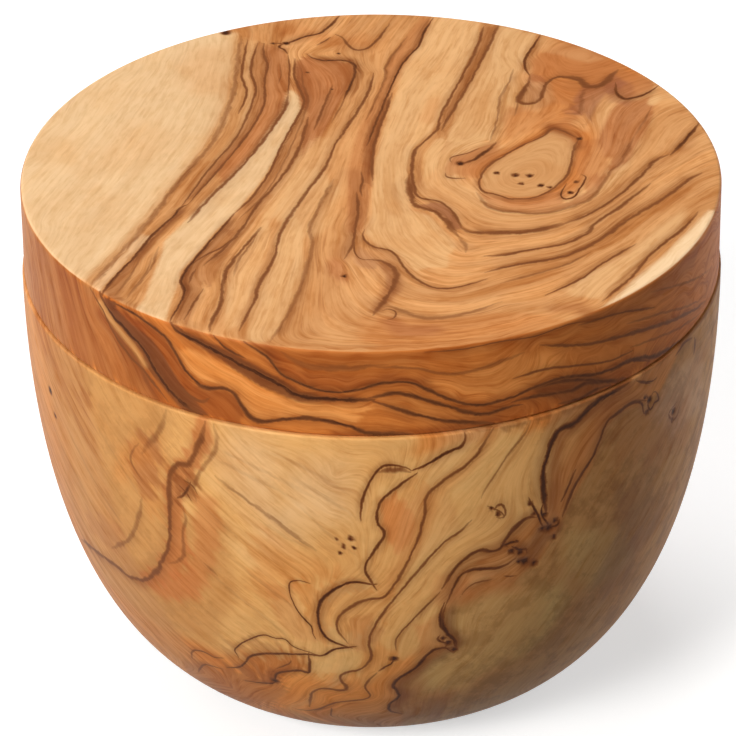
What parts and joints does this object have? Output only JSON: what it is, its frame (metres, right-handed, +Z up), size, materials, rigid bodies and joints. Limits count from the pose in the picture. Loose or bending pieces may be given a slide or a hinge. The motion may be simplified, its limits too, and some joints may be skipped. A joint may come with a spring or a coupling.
{
  "type": "salt box with swing lid",
  "caption": "Round turned wooden salt box with a rounded bowl and a thick flat lid that swings sideways on a pin hidden in the rim, held shut by magnets.",
  "frame": {"origin": "centre of the flat foot, on the surface that the box stands on", "axes": "+Z up along the turning axis of bowl and lid, +Y towards the pivot pin at the back, -Y towards the magnets at the front"},
  "size_m": [0.1026, 0.1026, 0.0795],
  "materials": {
    "bowl_wood": "satin",
    "lid_wood": "satin",
    "sleeve_brass": "satin",
    "pin_steel": "polished",
    "magnet_plating": "polished"
  },
  "bodies": {
    "bowl": {"bowl": "bowl_wood", "pivot_sleeve": "sleeve_brass", "bowl_magnet": "magnet_plating"},
    "lid": {"lid": "lid_wood", "pivot_pin": "pin_steel", "lid_magnet": "magnet_plating"}
  },
  "joints": [
    {"name": "lid_swing", "type": "hinge", "parent": "bowl", "child": "lid", "pos_m": [0, 0.0453, 0.0658], "axis": [0, 0, 1], "continuous": true}
  ]
}
